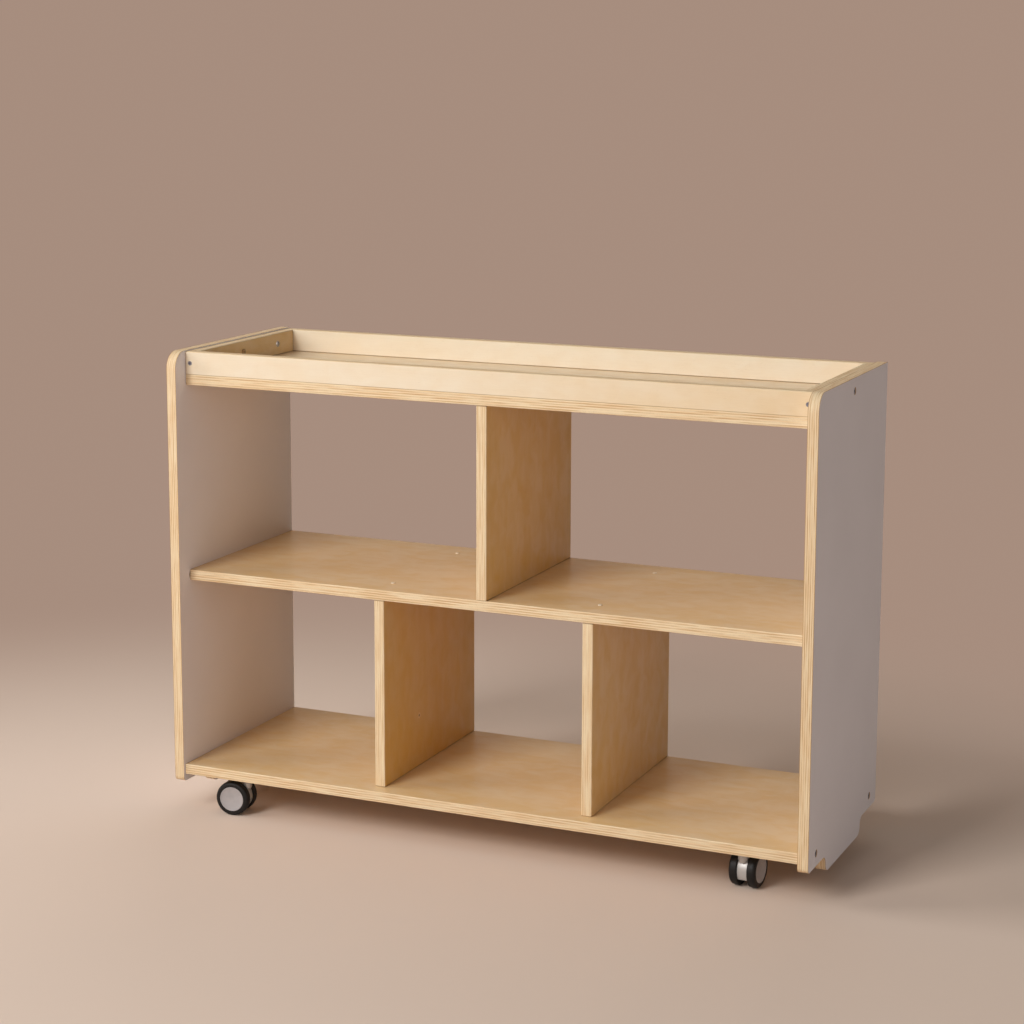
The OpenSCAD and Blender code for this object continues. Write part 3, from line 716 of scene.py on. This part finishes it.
bpy.ops.object.mode_set(mode="EDIT")
bpy.ops.mesh.select_mode(type="FACE")
bpy.ops.mesh.select_all(action="DESELECT")
bpy.ops.object.mode_set(mode="OBJECT")
pick_faces(cap, upward=False)
bpy.ops.object.mode_set(mode="EDIT")
bpy.ops.mesh.inset(thickness=STEM_INSET * MM)
bpy.ops.mesh.extrude_region_move(TRANSFORM_OT_translate={"value": (0, 0, -STEM_DEPTH * MM)})
bpy.ops.mesh.select_all(action="DESELECT")
bpy.ops.object.mode_set(mode="OBJECT")
pick_faces(cap, upward=True)
bpy.ops.object.mode_set(mode="EDIT")
bpy.ops.mesh.region_to_loop()
bpy.ops.mesh.bevel(offset=CAP_ROUND * MM, offset_type="OFFSET", segments=CAP_ROUND_STEPS, affect="EDGES")
bpy.ops.object.mode_set(mode="OBJECT")
bpy.ops.object.shade_smooth_by_angle(angle=math.radians(CAP_SMOOTH))
cap.data.materials.append(cap_plastic)
print("one cap:", len(cap.data.polygons), "faces")

# %% Copy the cap to its four places
for place_x, place_y in cap_places[1:]:
    twin = bpy.data.objects.new("domed_cap", cap.data.copy())
    bpy.context.scene.collection.objects.link(twin)
    twin.data.transform(Matrix.Translation((place_x - first_x, place_y - first_y, 0)))
    twin.select_set(True)
cap.select_set(True)
bpy.context.view_layer.objects.active = cap
bpy.ops.object.join()
stands_for(cap, "divider_caps")
print("all caps:", len(cap.data.polygons), "faces")

# %% [markdown]
# ## The floor
# The cabinet stands on a plain pale floor. A wall behind it would show a corner, so there is none: far from
# the cabinet the floor turns into the same plain colour as the sky, and there is no horizon. That colour is
# only for the camera and for reflections. It adds no light to the cabinet, and the floor near it keeps its
# shadow.
# %% Floor
FLOOR = (0.72, 0.57, 0.465, 1)
BACKDROP = (0.385, 0.268, 0.21, 1)
FLOOR_RADIUS, FLOOR_SIDES, FLOOR_ROUGHNESS = 40, 96, 0.9
POOL_CENTRE = (-0.05, -0.5, 0.0)
POOL_EDGE = (0.72, 2.0)


def seen_directly(tree):
    """1 for what the camera sees, directly, in a reflection or through glass, and 0 for bounced light."""
    rays = add(tree, "LightPath").outputs
    seen = calc(tree, "ADD", rays["Is Camera Ray"], rays["Is Glossy Ray"])
    return calc(tree, "ADD", seen, rays["Is Transmission Ray"], clamp=True)


bpy.ops.mesh.primitive_circle_add(vertices=FLOOR_SIDES, radius=FLOOR_RADIUS, fill_type="NGON")
floor = bpy.context.object
floor.name = "studio_floor"
material, tree, shader = new_material("studio_floor")
shader.inputs["Base Color"].default_value = FLOOR
shader.inputs["Roughness"].default_value = FLOOR_ROUGHNESS
place = add(tree, "TexCoord").outputs["Object"]
from_pool = add(tree, "VectorMath", {0: place, 1: POOL_CENTRE}, operation="DISTANCE").outputs["Value"]
pool = {"Value": from_pool, "From Min": POOL_EDGE[0], "From Max": POOL_EDGE[1]}
far = add(tree, "MapRange", pool, interpolation_type="SMOOTHERSTEP").outputs[0]
glow = add(tree, "Emission", {"Color": BACKDROP, "Strength": 1.0}).outputs[0]
far_and_seen = calc(tree, "MULTIPLY", far, seen_directly(tree))
faded = add(tree, "MixShader", {0: far_and_seen, 1: shader.outputs[0], 2: glow})
tree.links.new(faded.outputs[0], tree.nodes["Material Output"].inputs["Surface"])
floor.data.materials.append(material)
print("floor fades from", POOL_EDGE[0], "to", POOL_EDGE[1], "m")

# %% [markdown]
# ## The sky
# A studio is never quite dark between its lamps, because its walls return a little light. A bright sky
# would wash out the shade inside the bays, so this one is very weak, and it is only for light that bounces.
# What the camera and the reflections see instead is the plain colour of the backdrop.
# %% Sky
SKY_LEVEL = 0.025
SKY = (1.0, 0.98, 0.96, 1)
world = bpy.data.worlds.new("studio_sky")
bpy.context.scene.world = world
world.use_nodes = True
tree = world.node_tree
tree.nodes.clear()
lit = add(tree, "Background", {"Color": SKY, "Strength": SKY_LEVEL}).outputs[0]
shown = add(tree, "Background", {"Color": BACKDROP, "Strength": 1.0}).outputs[0]
sky = add(tree, "MixShader", {0: seen_directly(tree), 1: lit, 2: shown}).outputs[0]
add(tree, "OutputWorld", {"Surface": sky})
print("sky level:", SKY_LEVEL)

# %% [markdown]
# ## Lamps
# The photograph has soft light from the front left and the left, fairly high. Front edges are bright, faces
# turned to the right lie in soft shade, and the shadow falls to the right and behind. One lamp and a bright
# sky would make the shade too even, so weaker lamps from the right and from behind keep the shaded sides
# readable from every angle. All are large squares, so no shadow is hard. The two straight behind are hidden
# from reflections, because lacquered shelves seen from the front would mirror them as white glare.
# %% Hang the lamps
LOOK_AT = Vector((0, 0, 0.35))
WHITE = (1, 1, 1)
SOFT_WARM = (1.0, 0.93, 0.85)
# place in metres, width in metres, power in watts, colour
LAMPS = {
    "key_light": ((-1.7, -4.4, 3.5), 2.0, 166, WHITE),
    "low_front_light": ((-1.6, -4.4, 1.7), 2.0, 28, WHITE),
    "right_front_light": ((2.0, -5.4, 2.3), 2.8, 34, WHITE),
    "right_light": ((5.0, -1.2, 1.6), 3.2, 34, WHITE),
    "left_light": ((-4.6, -1.6, 2.8), 2.6, 138, WHITE),
    "back_left_light": ((-3.6, 0.8, 4.0), 3.2, 10, WHITE),
    "back_light": ((-1.6, 4.6, 4.6), 3.2, 52, SOFT_WARM),
    "low_back_light": ((0.3, 5.6, 1.6), 2.4, 34, SOFT_WARM),
}
NOT_REFLECTED = ("back_light", "low_back_light")
for name, (place, width, power, colour) in LAMPS.items():
    data = bpy.data.lights.new(name, "AREA")
    data.size = width
    data.energy = power
    data.color = colour
    lamp = bpy.data.objects.new(name, data)
    bpy.context.scene.collection.objects.link(lamp)
    lamp.location = place
    lamp.visible_glossy = name not in NOT_REFLECTED
    lamp.rotation_euler = (LOOK_AT - Vector(place)).to_track_quat("-Z", "Y").to_euler()
bpy.context.scene.view_settings.view_transform = "Standard"
print("lamps:", len(LAMPS))
